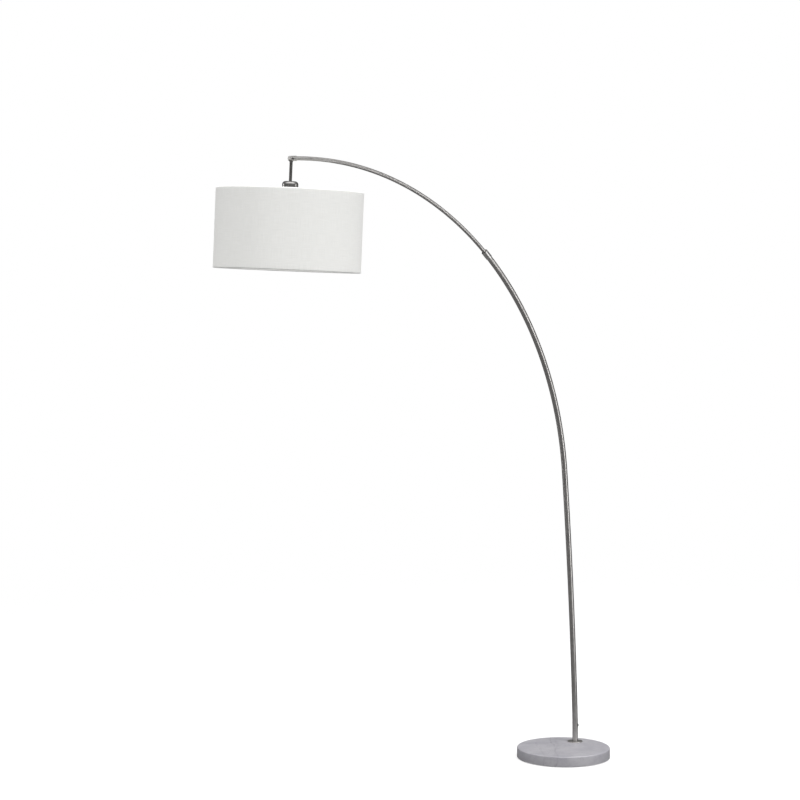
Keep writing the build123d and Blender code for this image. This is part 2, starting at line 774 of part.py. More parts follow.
with BuildPart() as bulb_glass:
    revolve(bulb_outline(0), axis=stem_axis)
    revolve(bulb_outline(bulb_wall), axis=stem_axis, mode=Mode.SUBTRACT)

bulb_thread_length = bulb_neck_drop - seat_gap - bulb_base_top_drop
with BuildPart() as bulb_base:
    with BuildSketch(below(bulb_neck_drop - seat_gap)):
        Circle(bulb_base_radius)
    extrude(amount=bulb_thread_length)
    for turn in range(int(bulb_thread_length / bulb_thread_pitch)):
        with BuildSketch(hanging_side):
            with Locations((bulb_base_radius, -bulb_base_top_drop - (turn + 0.5) * bulb_thread_pitch)):
                Circle(bulb_thread_depth)
        revolve(axis=stem_axis, mode=Mode.SUBTRACT)

button_top_drop = socket_cavity_drop + seat_gap + contact_thickness + seat_gap
with BuildPart() as bulb_insulator:
    with BuildSketch(below(bulb_base_top_drop - seat_gap)):
        Circle(bulb_base_radius)
    with BuildSketch(below(button_top_drop)):
        Circle(bulb_button_radius)
    loft()

# ------------------------------------------------------------------ files
pieces = {
    "foot_pad": foot_pad,
    "marble_base": marble_base,
    "base_washer": base_washer,
    "lock_washer": lock_washer,
    "base_nut": base_nut,
    "pivot_rod": pivot_rod,
    "foot_flange": foot_flange,
    "swivel_washer": swivel_washer,
    "pivot_washer": pivot_washer,
    "pivot_nut": pivot_nut,
    "post_tube": post_tube,
    "post_foot_plug": post_foot_plug,
    "cord_bushing": cord_bushing,
    "tube_coupler": tube_coupler,
    "arc_tube": arc_tube,
    "collar": collar,
    "collar_bushing": collar_bushing,
    "lock_screw": lock_screw,
    "upper_tube": upper_tube,
    "tube_end_guide": tube_end_guide,
    "elbow_body": elbow_body,
    "elbow_pin": elbow_pin,
    "elbow_nut": elbow_nut,
    "elbow_grub_screw": elbow_grub_screw,
    "stem_knuckle": stem_knuckle,
    "stem_pipe": stem_pipe,
    "socket_cup": socket_cup,
    "stem_nut": stem_nut,
    "socket_body": socket_body,
    "screw_shell": screw_shell,
    "centre_contact": centre_contact,
    "switch_shaft": switch_shaft,
    "switch_knob": switch_knob,
    "shade_cover": shade_cover,
    "shade_liner": shade_liner,
    "shade_ring_top": shade_ring_top,
    "shade_ring_bottom": shade_ring_bottom,
    "shade_hub": shade_hub,
    "shade_spokes": shade_spokes,
    "shade_retainer": shade_retainer,
    "bulb_glass": bulb_glass,
    "bulb_base": bulb_base,
    "bulb_insulator": bulb_insulator,
}

os.makedirs("parts", exist_ok=True)
for name, piece in pieces.items():
    piece.part.label = name
    export_step(piece.part, f"parts/{name}.step")
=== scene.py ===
# %% [markdown]
# # An arc floor lamp: stone disc, bowed post, telescoping arc and a cloth drum shade
# The structure of the lamp comes in as a fixed frame, in metres, with +Z up. Everything that the
# eye rests on is finished here: the long nickel tubes, the veined stone, the cloth of the shade
# with its hems and its seam, and a worked finish for every screw, washer and socket part. Each
# lesson cell says what the piece is on the real lamp, how it could be made, and why this way was
# chosen.

import json
from math import radians

import bpy
import numpy as np
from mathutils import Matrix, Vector


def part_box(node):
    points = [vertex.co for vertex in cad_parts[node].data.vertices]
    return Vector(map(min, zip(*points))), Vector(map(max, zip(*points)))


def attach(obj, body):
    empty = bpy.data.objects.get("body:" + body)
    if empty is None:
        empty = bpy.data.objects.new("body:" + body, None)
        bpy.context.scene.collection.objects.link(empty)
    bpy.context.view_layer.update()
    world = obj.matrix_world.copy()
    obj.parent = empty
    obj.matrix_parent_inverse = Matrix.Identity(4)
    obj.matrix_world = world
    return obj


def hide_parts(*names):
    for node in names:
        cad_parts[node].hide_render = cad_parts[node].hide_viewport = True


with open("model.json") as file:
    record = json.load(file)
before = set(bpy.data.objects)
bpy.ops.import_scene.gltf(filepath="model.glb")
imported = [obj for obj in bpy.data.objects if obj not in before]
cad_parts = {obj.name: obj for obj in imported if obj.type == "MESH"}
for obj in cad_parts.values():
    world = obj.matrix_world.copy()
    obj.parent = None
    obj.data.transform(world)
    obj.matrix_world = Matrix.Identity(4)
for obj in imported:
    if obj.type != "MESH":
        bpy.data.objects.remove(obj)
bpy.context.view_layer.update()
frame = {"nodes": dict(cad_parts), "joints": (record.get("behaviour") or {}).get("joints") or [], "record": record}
nodes = frame["nodes"]
joints = {joint["name"]: joint for joint in frame["joints"]}
MM = 0.001

# %% [markdown]
# ## Where things are
# Three joints place almost everything. The post turns at its foot, the arm draws out along a
# circle whose centre is a joint too, and the shade hangs from the last one. The sizes of the
# round parts are read off the frame's boxes, so nothing here has to be fitted by eye.

# %% Read places and sizes from the frame
post_foot = np.array(joints["post_turn"]["pos_m"])
arc_centre = np.array(joints["arm_draw"]["pos_m"])
pivot = np.array(joints["shade_tilt"]["pos_m"])
arc_radius = float(np.linalg.norm(pivot - arc_centre))
side = np.array([0.0, 1.0, 0.0])  # square to the plane of the arm


def points_of(piece):
    """The points of a piece's mesh at rest, one row each."""
    points = np.zeros(len(piece.data.vertices) * 3)
    piece.data.vertices.foreach_get("co", points)
    return points.reshape(-1, 3)


def half_width(node):
    """Half of a node's size across the plane of the arm: the radius of a tube or a drum."""
    low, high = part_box(node)
    return (high.y - low.y) / 2


def leans_of(node):
    """The tube's lean at both ends of a piece that lies along the arm's circle, in radians."""
    offset = points_of(nodes[node]) - arc_centre
    leans = np.arctan2(offset[:, 2], offset[:, 0])
    return leans.min(), leans.max()


tube_radius = half_width("arc_tube")
upper_radius = half_width("upper_tube")
shade_radius = half_width("shade_cover")
lower_leans = leans_of("arc_tube")
upper_leans = leans_of("upper_tube")
print("arc radius %.1f mm, tubes %.2f and %.2f mm, shade %.1f mm" % (
    arc_radius / MM, 2 * tube_radius / MM, 2 * upper_radius / MM, 2 * shade_radius / MM))
print("lower arc leans from %.2f to %.2f degrees" % tuple(np.degrees(lower_leans)))

# %% [markdown]
# The head has its own axis, the middle of its stem, which leans a little from plumb. The switch
# shaft stands square to that axis, so turning the shaft's direction by a right angle gives it.
# A point of the head is then told by three numbers: how far out it is, at what turn, and how far
# below the pivot.

# %% Axes of the head
head_out = np.array(joints["switch_turn"]["axis"])
head_out *= -np.sign(head_out[0]) / np.linalg.norm(head_out)
head_up = np.cross(side, head_out)
head_side = np.cross(head_up, head_out)


def on_head(radius, turn, drop):
    """Points round the stem: radius along the turned arm, then drop down the stem."""
    across = np.cos(turn)[..., None] * head_out + np.sin(turn)[..., None] * head_side
    return pivot + radius[..., None] * across - drop[..., None] * head_up


drops = (pivot - points_of(nodes["shade_cover"])) @ head_up
shade_top, shade_bottom = drops.min(), drops.max()
print("shade hangs from %.1f to %.1f mm below the pivot" % (shade_top / MM, shade_bottom / MM))
print("head axes: out", np.round(head_out, 3), "side", np.round(head_side, 3),
      "up", np.round(head_up, 3))

# %% [markdown]
# ## Camera
# The lamp is seen from far off with a long lens, which keeps the post straight and the drum
# square. The camera stands a little under the height of the shade and looks slightly down.

# %% Camera
camera_data = bpy.data.cameras.new("long_lens")
camera_data.lens = 110.5
camera_data.sensor_width = 36.0
camera = bpy.data.objects.new("long_lens", camera_data)
bpy.context.scene.collection.objects.link(camera)
bpy.context.scene.camera = camera
look_down = radians(4.42)
heading = np.array([0.6630, 0.7487, 0.0])
look = heading * np.cos(look_down) - np.array([0.0, 0.0, 1.0]) * np.sin(look_down)
camera.location = post_foot + np.array([-6.0506, -5.9128, 1.8456])
camera.rotation_euler = Vector(look).to_track_quat("-Z", "Y").to_euler()
print("camera at", [round(x, 3) for x in camera.location])

# %% [markdown]
# ## Meshes from whole arrays
# A surface is a grid of points: one direction runs along the piece and the other round it. The
# faces of a grid are always the same pattern, each point joined to its neighbours, so one helper
# serves every piece. A wall that turns back on itself closes in both directions and has no poles
# and no loose edges.

# %% Grid helper


def grid_piece(name, points, close_rows=False, close_columns=True, chart=None, sharp=40):
    """A mesh from a grid of points (rows, columns, 3).

    Face (i, j) joins the points (i, j), (i, j+1), (i+1, j+1) and (i+1, j), where a closed
    direction starts again at zero. chart is a grid of flat places (rows+1, columns+1, 2), so that
    a pattern runs on across the closing edge. Edges bent by more than sharp degrees stay crisp.
    """
    rows, columns = points.shape[:2]
    row = np.arange(rows if close_rows else rows - 1)[:, None]
    column = np.arange(columns if close_columns else columns - 1)[None, :]
    next_row, next_column = (row + 1) % rows, (column + 1) % columns
    faces = np.stack([
        row * columns + column,
        row * columns + next_column,
        next_row * columns + next_column,
        next_row * columns + column,
    ], axis=-1).reshape(-1, 4)
    mesh = bpy.data.meshes.new(name)
    mesh.from_pydata(points.reshape(-1, 3).tolist(), [], faces.tolist())
    if chart is not None:
        corners = np.stack([
            chart[row, column],
            chart[row, column + 1],
            chart[row + 1, column + 1],
            chart[row + 1, column],
        ], axis=2)
        layer = mesh.uv_layers.new(name="flat")
        layer.data.foreach_set("uv", corners.astype(np.float32).ravel())
    mesh.shade_smooth()
    mesh.set_sharp_from_angle(angle=radians(sharp))
    mesh.validate()
    piece = bpy.data.objects.new(name, mesh)
    bpy.context.scene.collection.objects.link(piece)
    return piece


def face_outwards(piece):
    """Turns a closed mesh right side out: its signed volume, summed over its triangles, is
    positive when its faces look outwards."""
    mesh = piece.data
    mesh.calc_loop_triangles()
    triangles = np.zeros(len(mesh.loop_triangles) * 3, np.int32)
    mesh.loop_triangles.foreach_get("vertices", triangles)
    a, b, c = points_of(piece)[triangles.reshape(-1, 3)].transpose(1, 0, 2)
    volume = (np.cross(a, b) * c).sum() / 6
    if volume < 0:
        mesh.flip_normals()
    print(piece.name, len(mesh.polygons), "faces,", round(abs(volume) * 1e6, 2), "cm3")


# %% [markdown]
# ## Node helpers
# A finish is a small graph: places on the piece go through a pattern and come out as colour,
# gloss and relief. Two short helpers keep those graphs readable. A value that is the same all
# over stays on the shader's own socket.

# %% Material helpers


def finish(name, **values):
    """A material with those values on its shader, and its node tree and shader."""
    material = bpy.data.materials.new(name)
    material.use_nodes = True
    shader = material.node_tree.nodes["Principled BSDF"]
    for socket, value in values.items():
        shader.inputs[socket.replace("_", " ")].default_value = value
    return material, material.node_tree, shader


def step(tree, kind, *sources, **settings):
    """Adds one node. sources feed its inputs in order: an output is linked, None is skipped and
    any other value is set. Settings whose name is an input's go there, and the rest on the node."""
    node = tree.nodes.new(kind)
    for key, value in settings.items():
        socket = key.replace("_", " ")
        if socket in node.inputs:
            if isinstance(value, bpy.types.NodeSocket):
                tree.links.new(value, node.inputs[socket])
            else:
                node.inputs[socket].default_value = value
        else:
            setattr(node, key, value)
    for slot, source in enumerate(sources):
        if isinstance(source, bpy.types.NodeSocket):
            tree.links.new(source, node.inputs[slot])
        elif source is not None:
            node.inputs[slot].default_value = source
    return node


def calculate(tree, operation, *values):
    """The result of one sum on numbers."""
    return step(tree, "ShaderNodeMath", *values, operation=operation).outputs[0]


def scaled(tree, vector, factors, location=(0, 0, 0), turn=(0, 0, 0)):
    """Places moved to start at location, turned, and then stretched by three factors."""
    centred = step(tree, "ShaderNodeMapping", vector, Location=location, Rotation=turn,
                   vector_type="TEXTURE")
    return step(tree, "ShaderNodeVectorMath", centred.outputs[0], factors,
                operation="MULTIPLY").outputs[0]


def noise(tree, vector, scale=1.0, detail=2.0, roughness=0.5, distortion=0.0):
    """A cloud of values round one half."""
    return step(tree, "ShaderNodeTexNoise", Vector=vector, Scale=scale, Detail=detail,
                Roughness=roughness, Distortion=distortion).outputs["Fac"]


def spread(tree, value, low, high, to_low, to_high, smooth=False):
    """Maps low..high onto to_low..to_high and holds it there outside."""
    return step(tree, "ShaderNodeMapRange", value, low, high, to_low, to_high,
                interpolation_type="SMOOTHSTEP" if smooth else "LINEAR").outputs[0]


def tint(tree, factor, first, second):
    """Colour between two colours."""
    mix = step(tree, "ShaderNodeMix", data_type="RGBA")
    tree.links.new(factor, mix.inputs[0])
    for slot, colour in ((6, first), (7, second)):
        if isinstance(colour, bpy.types.NodeSocket):
            tree.links.new(colour, mix.inputs[slot])
        else:
            mix.inputs[slot].default_value = colour
    return mix.outputs[2]


def relief(tree, shader, height, strength, distance):
    """Bump from a height, on the shader's normal."""
    bump = step(tree, "ShaderNodeBump", Strength=strength, Distance=distance, Height=height)
    tree.links.new(bump.outputs[0], shader.inputs["Normal"])


def places(tree, kind="Object"):
    """Places on the piece, its own chart for kind UV."""
    return tree.nodes.new("ShaderNodeTexCoord").outputs[kind]


# %% [markdown]
# ## Brushed nickel on the tubes
# Lamp tube is plated and then brushed by a belt that runs round it, so its scratches are fine
# rings. A light mirrored in such a surface is smeared along the tube and stays narrow across it,
# which is why a round tube shows crisp dark and light lines down its length. The tubes carry a
# chart with the first number along the tube and the second round it, both in metres. The rings
# are noise that changes quickly along the tube and slowly round it, and the smear is the
# shader's anisotropy along the chart's first direction.

# %% Nickel for the tubes
NICKEL = (0.56, 0.545, 0.53, 1.0)
NICKEL_WORN = (0.47, 0.455, 0.445, 1.0)


def tube_nickel():
    """Nickel with rings round the tube, read from the tube's chart."""
    material, tree, shader = finish("nickel_tube", Metallic=1.0, Anisotropic=0.75)
    chart = places(tree, "UV")
    rings = noise(tree, scaled(tree, chart, (5200.0, 45.0, 1.0)), detail=3.0)
    bands = noise(tree, scaled(tree, chart, (9.0, 30.0, 1.0)), detail=2.0)
    handled = noise(tree, scaled(tree, chart, (60.0, 60.0, 1.0)), detail=4.0, roughness=0.6)
    tree.links.new(tint(tree, spread(tree, bands, 0.3, 0.7, 0.0, 1.0), NICKEL, NICKEL_WORN),
                   shader.inputs["Base Color"])
    gloss = calculate(tree, "ADD", spread(tree, rings, 0.25, 0.75, 0.24, 0.34),
                      spread(tree, handled, 0.45, 0.75, 0.0, 0.06))
    tree.links.new(gloss, shader.inputs["Roughness"])
    relief(tree, shader, rings, 0.12, 0.00002)
    tangent = step(tree, "ShaderNodeTangent", direction_type="UV_MAP", uv_map="flat")
    tree.links.new(tangent.outputs[0], shader.inputs["Tangent"])
    return material


nickel_tube = tube_nickel()

# %% [markdown]
# ## Turned nickel on the small parts
# The flange, the collar, the elbow and the cup are turned on a lathe and brushed while they
# spin, so their rings run round each part's own axis, on the flat faces too. The finish moves
# the places of the piece onto that axis and reads only two numbers there: the distance from the
# axis and the place along it. The rings run along the axis crossed with the offset from it, and
# the smear runs across them, so it is that direction crossed with the surface's normal.

# %% Nickel for turned parts


def turned_nickel(name, origin, axis, colour=NICKEL, gloss=0.3):
    """Nickel with rings round the axis through origin."""
    material, tree, shader = finish(name, Metallic=1.0, Anisotropic=0.45)
    turn = Vector(axis).to_track_quat("Z", "Y").to_euler()
    local = step(tree, "ShaderNodeMapping", places(tree), Location=origin, Rotation=turn,
                 vector_type="TEXTURE").outputs[0]
    parts = step(tree, "ShaderNodeSeparateXYZ", local).outputs
    squares = calculate(tree, "ADD", calculate(tree, "MULTIPLY", parts[0], parts[0]),
                        calculate(tree, "MULTIPLY", parts[1], parts[1]))
    radius = calculate(tree, "SQRT", squares)
    flat = step(tree, "ShaderNodeCombineXYZ", radius, parts[2], 0.0).outputs[0]
    rings = noise(tree, scaled(tree, flat, (5200.0, 5200.0, 1.0)), detail=3.0)
    clouds = noise(tree, scaled(tree, local, (90.0, 90.0, 90.0)), detail=3.0)
    worn = tuple(0.84 * c for c in colour[:3]) + (1.0,)
    tree.links.new(tint(tree, spread(tree, clouds, 0.3, 0.7, 0.0, 1.0), colour, worn),
                   shader.inputs["Base Color"])
    tree.links.new(spread(tree, rings, 0.25, 0.75, gloss - 0.05, gloss + 0.06),
                   shader.inputs["Roughness"])
    relief(tree, shader, rings, 0.15, 0.00002)
    offset = step(tree, "ShaderNodeVectorMath", places(tree), tuple(origin), operation="SUBTRACT")
    around = step(tree, "ShaderNodeVectorMath", tuple(axis), offset.outputs[0],
                  operation="CROSS_PRODUCT")
    around = step(tree, "ShaderNodeVectorTransform", around.outputs[0], vector_type="VECTOR",
                  convert_from="OBJECT", convert_to="WORLD")
    normal = tree.nodes.new("ShaderNodeNewGeometry").outputs["Normal"]
    across = step(tree, "ShaderNodeVectorMath", normal, around.outputs[0],
                  operation="CROSS_PRODUCT")
    tree.links.new(across.outputs[0], shader.inputs["Tangent"])
    return material


# %% [markdown]
# ## The three long tubes
# A tube is a small circle carried along a line. In the plane of the arm the line is told by its
# lean alone: walking along it, each short step goes up by the cosine of the lean and out by its
# sine. The post stands upright at its foot, bends gently, and bows a little more up to the
# coupling. Both arcs share one circle, which is what lets the thin one slide in the thick one.
# A curve object with a round bevel would give the same outside, but no wall and no chart. Here
# the circle is carried up the outside and back down the inside, so each tube is a real wall with
# open ends and eased lips.

# %% Tube helper
ROUND = 48  # points round a tube
LIP = 0.25 * MM  # eased off a tube's ends


def tube(name, places_on_line, leans, outer, inner):
    """A wall swept along a line: the point at turn t of a station is the line's place plus the
    radius times cos t towards the outside of the bend and sin t to the side."""
    steps = np.linalg.norm(np.diff(places_on_line, axis=0), axis=1)
    run = np.concatenate([[0.0], np.cumsum(steps)])
    count = len(run)
    back = np.arange(count)[::-1]
    station = np.concatenate([[0], np.arange(count), [count - 1], back, [0]])
    radius = np.concatenate([
        [outer - LIP], np.full(count, outer), [outer - LIP], np.full(count, inner), [outer - LIP]])
    shift = np.zeros(len(station))
    shift[1], shift[count] = LIP, -LIP
    lean = leans[station]
    along = np.stack([-np.sin(lean), np.zeros_like(lean), np.cos(lean)], axis=1)
    outward = np.stack([np.cos(lean), np.zeros_like(lean), np.sin(lean)], axis=1)
    line = places_on_line[station] + shift[:, None] * along
    turn = np.linspace(0, 2 * np.pi, ROUND, endpoint=False)
    ring = np.cos(turn)[None, :, None] * outward[:, None, :] + np.sin(turn)[None, :, None] * side
    points = line[:, None, :] + radius[:, None, None] * ring
    arc = np.linspace(0, 2 * np.pi * outer, ROUND + 1)
    length = run[station] + shift
    closed = np.append(length, length[0])
    chart = np.stack(np.broadcast_arrays(closed[:, None], arc[None, :]), axis=-1)
    piece = grid_piece(name, points[:-1], close_rows=True, chart=chart[:-1])
    face_outwards(piece)
    piece.data.materials.append(nickel_tube)
    return piece


def walk(start, lengths, leans):
    """Places along a line from its leans: the running sum of short straight steps."""
    step_length = np.diff(lengths)
    middle = (leans[1:] + leans[:-1]) / 2
    out = np.concatenate([[0.0], np.cumsum(step_length * np.sin(middle))])
    up = np.concatenate([[0.0], np.cumsum(step_length * np.cos(middle))])
    return start + np.stack([-out, np.zeros_like(out), up], axis=1)


# %% [markdown]
# The post's own drawing has three stretches. Its lean is nought along the straight foot, rises
# evenly over the short bend, and rises more slowly over the long bow.

# %% Post
FOOT_STRAIGHT = 40 * MM
FOOT_BEND = 60 * MM
POST_LENGTH = 950 * MM
FOOT_LEAN = radians(2.4)
TUBE_WALL = 1.2 * MM
COUPLING_GAP = 0.3 * MM  # between the post and the lower arc

post_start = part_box("post_tube")[0].z - post_foot[2]
stations = np.concatenate([
    np.linspace(post_start, FOOT_STRAIGHT, 6),
    np.linspace(FOOT_STRAIGHT, FOOT_STRAIGHT + FOOT_BEND, 14)[1:],
    np.linspace(FOOT_STRAIGHT + FOOT_BEND, POST_LENGTH - COUPLING_GAP, 90)[1:],
])
post_leans = np.interp(stations, [0, FOOT_STRAIGHT, FOOT_STRAIGHT + FOOT_BEND, POST_LENGTH],
                       [0, 0, FOOT_LEAN, lower_leans[0]])
post_line = walk(post_foot + np.array([0, 0, post_start]), stations, post_leans)
post_piece = tube("post_brushed", post_line, post_leans, tube_radius, tube_radius - TUBE_WALL)
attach(post_piece, "post")
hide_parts("post_tube")
gap = np.array(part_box("post_tube")[1]) - points_of(post_piece).max(0)
print("post's top corner is off by", np.round(gap / MM, 3), "mm")

# %% Lower and upper arcs


def along_circle(leans):
    """Places on the arm's circle where the tube has those leans."""
    spokes = np.stack([np.cos(leans), np.zeros_like(leans), np.sin(leans)], axis=1)
    return arc_centre + arc_radius * spokes


lower = np.linspace(lower_leans[0], lower_leans[1], 150)
lower_piece = tube("lower_arc_brushed", along_circle(lower), lower, tube_radius,
                   tube_radius - TUBE_WALL)
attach(lower_piece, "post")
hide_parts("arc_tube")

UPPER_WALL = 1.0 * MM
upper = np.linspace(upper_leans[0], upper_leans[1], 170)
upper_piece = tube("upper_arc_brushed", along_circle(upper), upper, upper_radius,
                   upper_radius - UPPER_WALL)
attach(upper_piece, "upper_arm")
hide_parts("upper_tube")

# %% [markdown]
# ## Marble
# The stone is a light grey marble, honed rather than polished, with soft clouds, faint crossing
# veins and one or two darker ones. A vein is a thin sheet that runs through the whole block, so
# it has to meet itself where the top turns over into the side. That is why the veins are worked
# out in space and not painted on a chart: each is a plane, bent by noise, and the stone darkens
# where it is nearly on that plane.

# %% Marble finish
MARBLE = (0.315, 0.308, 0.328, 1.0)
MARBLE_CLOUD = (0.250, 0.244, 0.270, 1.0)
VEIN = (0.125, 0.118, 0.138, 1.0)


def marble_finish():
    """Clouds, a net of hair veins and a few bent planes of darker vein."""
    material, tree, shader = finish("honed_marble", Coat_Weight=0.12, Coat_Roughness=0.25)
    here = places(tree)
    bend = step(tree, "ShaderNodeTexNoise", Vector=here, Scale=9.0, Detail=5.0, Roughness=0.6)
    push = step(tree, "ShaderNodeVectorMath", bend.outputs["Color"], (0.5, 0.5, 0.5),
                operation="SUBTRACT").outputs[0]
    push = step(tree, "ShaderNodeVectorMath", push, (0.05, 0.05, 0.05),
                operation="MULTIPLY").outputs[0]
    bent = step(tree, "ShaderNodeVectorMath", here, push, operation="ADD").outputs[0]
    clouds = noise(tree, scaled(tree, bent, (11.0, 15.0, 22.0)), detail=6.0, roughness=0.55)
    colour = tint(tree, spread(tree, clouds, 0.34, 0.66, 0.0, 1.0), MARBLE, MARBLE_CLOUD)

    def vein(direction, offset, width, depth):
        """Darkness near the plane whose distance from the origin along direction is offset."""
        distance = step(tree, "ShaderNodeVectorMath", bent, tuple(Vector(direction).normalized()),
                        operation="DOT_PRODUCT").outputs["Value"]
        away = calculate(tree, "ABSOLUTE", calculate(tree, "SUBTRACT", distance, offset))
        fade = noise(tree, here, scale=21.0, detail=2.0)
        strength = spread(tree, fade, 0.35, 0.62, 0.25 * depth, depth)
        return calculate(tree, "MULTIPLY", spread(tree, away, 0.0, width, 1.0, 0.0, True), strength)

    veins = [
        ((0.73, -0.64, -0.24), -0.040, 0.0022, 0.85),
        ((0.66, -0.74, 0.10), -0.022, 0.0060, 0.30),
        ((0.35, 0.95, 0.20), 0.030, 0.0030, 0.45),
        ((0.55, 0.80, -0.30), -0.070, 0.0018, 0.55),
        ((-0.75, 0.62, 0.15), 0.088, 0.0035, 0.40),
        ((0.98, 0.12, 0.30), 0.104, 0.0016, 0.55),
    ]
    for direction, offset, width, depth in veins:
        colour = tint(tree, vein(direction, offset, width, depth), colour, VEIN)
    net = noise(tree, bent, scale=26.0, detail=8.0, roughness=0.62)
    ridge = calculate(tree, "ABSOLUTE", calculate(tree, "SUBTRACT", net, 0.5))
    colour = tint(tree, spread(tree, ridge, 0.0, 0.022, 0.28, 0.0, True), colour, VEIN)
    grain = noise(tree, here, scale=1500.0, detail=3.0)
    colour = tint(tree, spread(tree, grain, 0.3, 0.7, 0.0, 0.10), colour, (0.75, 0.75, 0.78, 1.0))
    tree.links.new(colour, shader.inputs["Base Color"])
    tree.links.new(spread(tree, clouds, 0.3, 0.7, 0.36, 0.48), shader.inputs["Roughness"])
    pits = noise(tree, here, scale=420.0, detail=4.0)
    relief(tree, shader, pits, 0.12, 0.0002)
    return material


# %% [markdown]
# ## The stone disc
# The disc has eased edges, a hole for the threaded rod and a pocket below for the nut. Both are
# off centre, so the disc isn't a body of revolution. It is still a stack of circles: going over
# its surface from the rod hole outwards, round the rim and back underneath to the pocket, each
# circle has its own centre, radius and height. Sliding the centre along with the radius keeps
# the circles inside each other. The stack closes on itself, so the disc is watertight.

# %% Stone disc
base_low, base_high = (np.array(corner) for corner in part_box("marble_base"))
disc_radius = half_width("marble_base")
TOP_ROUND = 4.0 * MM
BOTTOM_ROUND = 1.5 * MM
ROD_HOLE = 5.6 * MM
POCKET = 22.0 * MM
POCKET_DEPTH = 14.0 * MM


def quarter(radius, start, count=9):
    """Offsets of a rounded corner: radius times (cos, sin) over a quarter turn from start."""
    angle = np.linspace(start, start - np.pi / 2, count)
    return radius * np.cos(angle), radius * np.sin(angle)


top, bottom = base_high[2], base_low[2]
roof = bottom + POCKET_DEPTH
top_out, top_up = quarter(TOP_ROUND, np.pi / 2)
low_out, low_up = quarter(BOTTOM_ROUND, 0.0, 5)
spread_out = np.linspace(0, 1, 14)
flat_edge = disc_radius - TOP_ROUND
low_edge = disc_radius - BOTTOM_ROUND
centre_share = np.concatenate([  # one at the post's axis, nought at the disc's middle
    [1], 1 - spread_out, np.zeros(len(top_out) - 1), np.zeros(len(low_out)),
    spread_out[1:], [1]])
circle_radius = np.concatenate([
    [ROD_HOLE], ROD_HOLE + (flat_edge - ROD_HOLE) * spread_out, (flat_edge + top_out)[1:],
    low_edge + low_out, low_edge + (POCKET - low_edge) * spread_out[1:], [POCKET]])
circle_height = np.concatenate([
    [roof], np.full(len(spread_out), top), (top - TOP_ROUND + top_up)[1:],
    bottom + BOTTOM_ROUND + low_up, np.full(len(spread_out) - 1, bottom), [roof]])


def stack_of_circles(name, centre_share, radius, height):
    """A closed stack of circles: each lies at its height round a centre that is the share's part
    of the way from the disc's middle to the post's axis."""
    turn = np.linspace(0, 2 * np.pi, 224, endpoint=False)
    points = np.stack([
        centre_share[:, None] * post_foot[0] + radius[:, None] * np.cos(turn),
        centre_share[:, None] * post_foot[1] + radius[:, None] * np.sin(turn),
        np.broadcast_to(height[:, None], (len(height), len(turn))),
    ], axis=-1)
    piece = grid_piece(name, points, close_rows=True)
    face_outwards(piece)
    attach(piece, "base")
    return piece


disc = stack_of_circles("stone_disc", centre_share, circle_radius, circle_height)
disc.data.materials.append(marble_finish())
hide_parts("marble_base")

# %% [markdown]
# ## Shade cloth
# The cloth is a plain weave of slightly slubby thread, off white and matt. Its threads run along
# the chart's two directions: weft round the drum and warp up it. Where a warp thread is on top
# the surface is high, and one pitch further the weft is on top, which a product of two sine
# waves gives. Slubs are noise stretched along each thread direction.
# The colour is painted darker where the weave lies low, between the threads and along thin stretches of slub:
# painted shade.

# %% Cloth finish
THREAD = 0.62 * MM  # from one thread to the next
CLOTH = (0.945, 0.945, 0.922, 1.0)
CLOTH_PAINTED_SHADE = (0.875, 0.875, 0.850, 1.0)


def cloth_finish():
    """Plain weave in relief with slubs, its colour painted darker where the weave lies low: painted shade."""
    material, tree, shader = finish("shade_cloth", Roughness=0.88, Sheen_Weight=0.15,
                                    Sheen_Roughness=0.5)
    shader.inputs["Specular IOR Level"].default_value = 0.25
    chart = places(tree, "UV")
    parts = step(tree, "ShaderNodeSeparateXYZ", chart).outputs
    pitch = np.pi / THREAD
    weft = calculate(tree, "SINE", calculate(tree, "MULTIPLY", parts[0], pitch))
    warp = calculate(tree, "SINE", calculate(tree, "MULTIPLY", parts[1], pitch))
    over = calculate(tree, "MULTIPLY", weft, warp)
    slub_round = noise(tree, scaled(tree, chart, (22.0, 800.0, 1.0)), detail=3.0)
    slub_up = noise(tree, scaled(tree, chart, (800.0, 22.0, 1.0)), detail=3.0)
    slubs = calculate(tree, "MULTIPLY", slub_round, slub_up)
    height = calculate(tree, "MULTIPLY_ADD", slubs, 1.6, calculate(tree, "MULTIPLY", over, 0.5))
    # Painted shade: the colour darkens where the weave lies low, between the threads and along thin stretches of
    # slub.
    weave_painted_shade = calculate(tree, "ADD", spread(tree, slubs, 0.17, 0.33, 0.75, 0.0),
                     spread(tree, calculate(tree, "ABSOLUTE", over), 0.0, 0.45, 0.30, 0.0))
    tree.links.new(tint(tree, weave_painted_shade, CLOTH, CLOTH_PAINTED_SHADE), shader.inputs["Base Color"])
    relief(tree, shader, height, 0.30, 0.00018)
    return material


# %% [markdown]
# ## The drum of the shade
# The cover is one strip of cloth. It is wrapped round two wire rings, its long edges are turned
# over the wires and tucked against the lining, and its ends lap in a seam that faces the post.
# Cloth simulation would only shake a strip that is glued down all over, so the strip is laid out
# by a formula instead: a flat grid of cut cloth, whose one direction goes round the drum and
# whose other goes from tuck to tuck. The lap lifts the last end by a cloth's thickness, and a
# faint pucker along the hems keeps the edge from looking machined.

